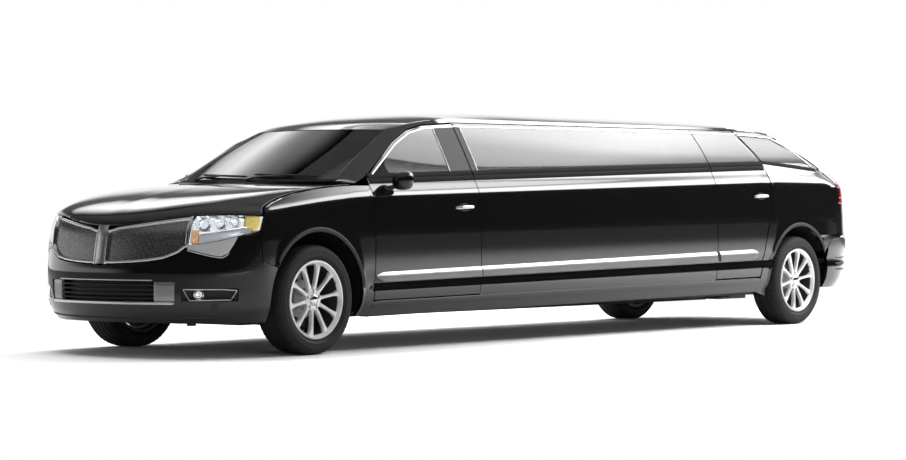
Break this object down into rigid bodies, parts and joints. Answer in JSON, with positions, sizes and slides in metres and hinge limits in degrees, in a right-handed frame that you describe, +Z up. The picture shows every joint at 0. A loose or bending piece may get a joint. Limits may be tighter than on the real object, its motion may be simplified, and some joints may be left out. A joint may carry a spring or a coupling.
{
  "type": "stretch limousine",
  "caption": "Long black stretch limousine on a crossover base with hinged doors, hood and liftgate, steered front wheels, a divided cabin and a lounge bench.",
  "frame": {"origin": "on the road, midway between the front and rear bumpers and between the sides", "axes": "+X from the nose to the tail, +Y to the vehicle's right, +Z up"},
  "size_m": [8.32, 2.1636, 1.7],
  "materials": {
    "paint": "gloss black clear coat",
    "trim": "satin black",
    "chrome": "polished",
    "tinted_glass": "polished",
    "clear_lens": "polished",
    "red_lens": "polished",
    "alloy": "polished",
    "tyre": "moulded",
    "steel": "machined",
    "iron": "as cast",
    "leather": "grained"
  },
  "bodies": {
    "body": {"floor_pan": "trim", "rockers": "paint", "front_fenders": "paint", "stretch_panels": "paint", "quarter_panels": "paint", "rear_pillars": "paint", "roof": "paint", "windshield": "tinted_glass", "side_windows": "tinted_glass", "front_bumper": "paint", "nose_carrier": "trim", "grille_wings": "chrome", "intake_grille": "trim", "front_lamps": "clear_lens", "rear_bumper": "paint", "tail_lamps": "red_lens", "wheel_liners": "trim", "front_subframe": "steel", "engine": "iron", "rear_axle": "steel", "exhaust": "steel", "dashboard": "trim", "steering_wheel": "leather", "front_seats": "leather", "lounge_seats": "leather", "partition": "trim"},
    "hood": {"hood": "paint"},
    "liftgate": {"liftgate": "paint", "liftgate_glass": "tinted_glass"},
    "door_front_left": {"front_door_left": "paint", "front_glass_left": "tinted_glass", "mirror_left": "paint"},
    "door_rear_left": {"rear_door_left": "paint", "rear_glass_left": "tinted_glass"},
    "steer_left": {"knuckle_left": "steel"},
    "roll_front_left": {"wheel_front_left": "alloy", "tyre_front_left": "tyre"},
    "roll_rear_left": {"wheel_rear_left": "alloy", "tyre_rear_left": "tyre"},
    "door_front_right": {"front_door_right": "paint", "front_glass_right": "tinted_glass", "mirror_right": "paint"},
    "door_rear_right": {"rear_door_right": "paint", "rear_glass_right": "tinted_glass"},
    "steer_right": {"knuckle_right": "steel"},
    "roll_front_right": {"wheel_front_right": "alloy", "tyre_front_right": "tyre"},
    "roll_rear_right": {"wheel_rear_right": "alloy", "tyre_rear_right": "tyre"}
  },
  "joints": [
    {"name": "door_front_left_hinge", "type": "hinge", "parent": "body", "child": "door_front_left", "pos_m": [-2.475, -0.965, 0.8], "axis": [0, 0, -1], "range_deg": [0, 65]},
    {"name": "door_rear_left_hinge", "type": "hinge", "parent": "body", "child": "door_rear_left", "pos_m": [1.743, -0.965, 0.8], "axis": [0, 0, -1], "range_deg": [0, 65]},
    {"name": "door_front_right_hinge", "type": "hinge", "parent": "body", "child": "door_front_right", "pos_m": [-2.475, 0.965, 0.8], "axis": [0, 0, 1], "range_deg": [0, 65]},
    {"name": "door_rear_right_hinge", "type": "hinge", "parent": "body", "child": "door_rear_right", "pos_m": [1.743, 0.965, 0.8], "axis": [0, 0, 1], "range_deg": [0, 65]},
    {"name": "hood_hinge", "type": "hinge", "parent": "body", "child": "hood", "pos_m": [-2.642, 0, 1.148], "axis": [0, 1, 0], "range_deg": [0, 50]},
    {"name": "liftgate_hinge", "type": "hinge", "parent": "body", "child": "liftgate", "pos_m": [3.355, 0, 1.605], "axis": [0, -1, 0], "range_deg": [0, 80]},
    {"name": "steer_left_pivot", "type": "hinge", "parent": "body", "child": "steer_left", "pos_m": [-3.06, -0.77, 0.37], "axis": [0, 0, 1], "range_deg": [-35, 35]},
    {"name": "steer_right_pivot", "type": "hinge", "parent": "body", "child": "steer_right", "pos_m": [-3.06, 0.77, 0.37], "axis": [0, 0, 1], "range_deg": [-35, 35]},
    {"name": "wheel_front_left_spin", "type": "hinge", "parent": "steer_left", "child": "roll_front_left", "pos_m": [-3.06, -0.83, 0.37], "axis": [0, 1, 0], "continuous": true},
    {"name": "wheel_rear_left_spin", "type": "hinge", "parent": "body", "child": "roll_rear_left", "pos_m": [2.983, -0.83, 0.37], "axis": [0, 1, 0], "continuous": true},
    {"name": "wheel_front_right_spin", "type": "hinge", "parent": "steer_right", "child": "roll_front_right", "pos_m": [-3.06, 0.83, 0.37], "axis": [0, 1, 0], "continuous": true},
    {"name": "wheel_rear_right_spin", "type": "hinge", "parent": "body", "child": "roll_rear_right", "pos_m": [2.983, 0.83, 0.37], "axis": [0, 1, 0], "continuous": true}
  ],
  "couplings": [
    {"joint": "steer_right_pivot", "follows": "steer_left_pivot", "ratio": 1}
  ]
}
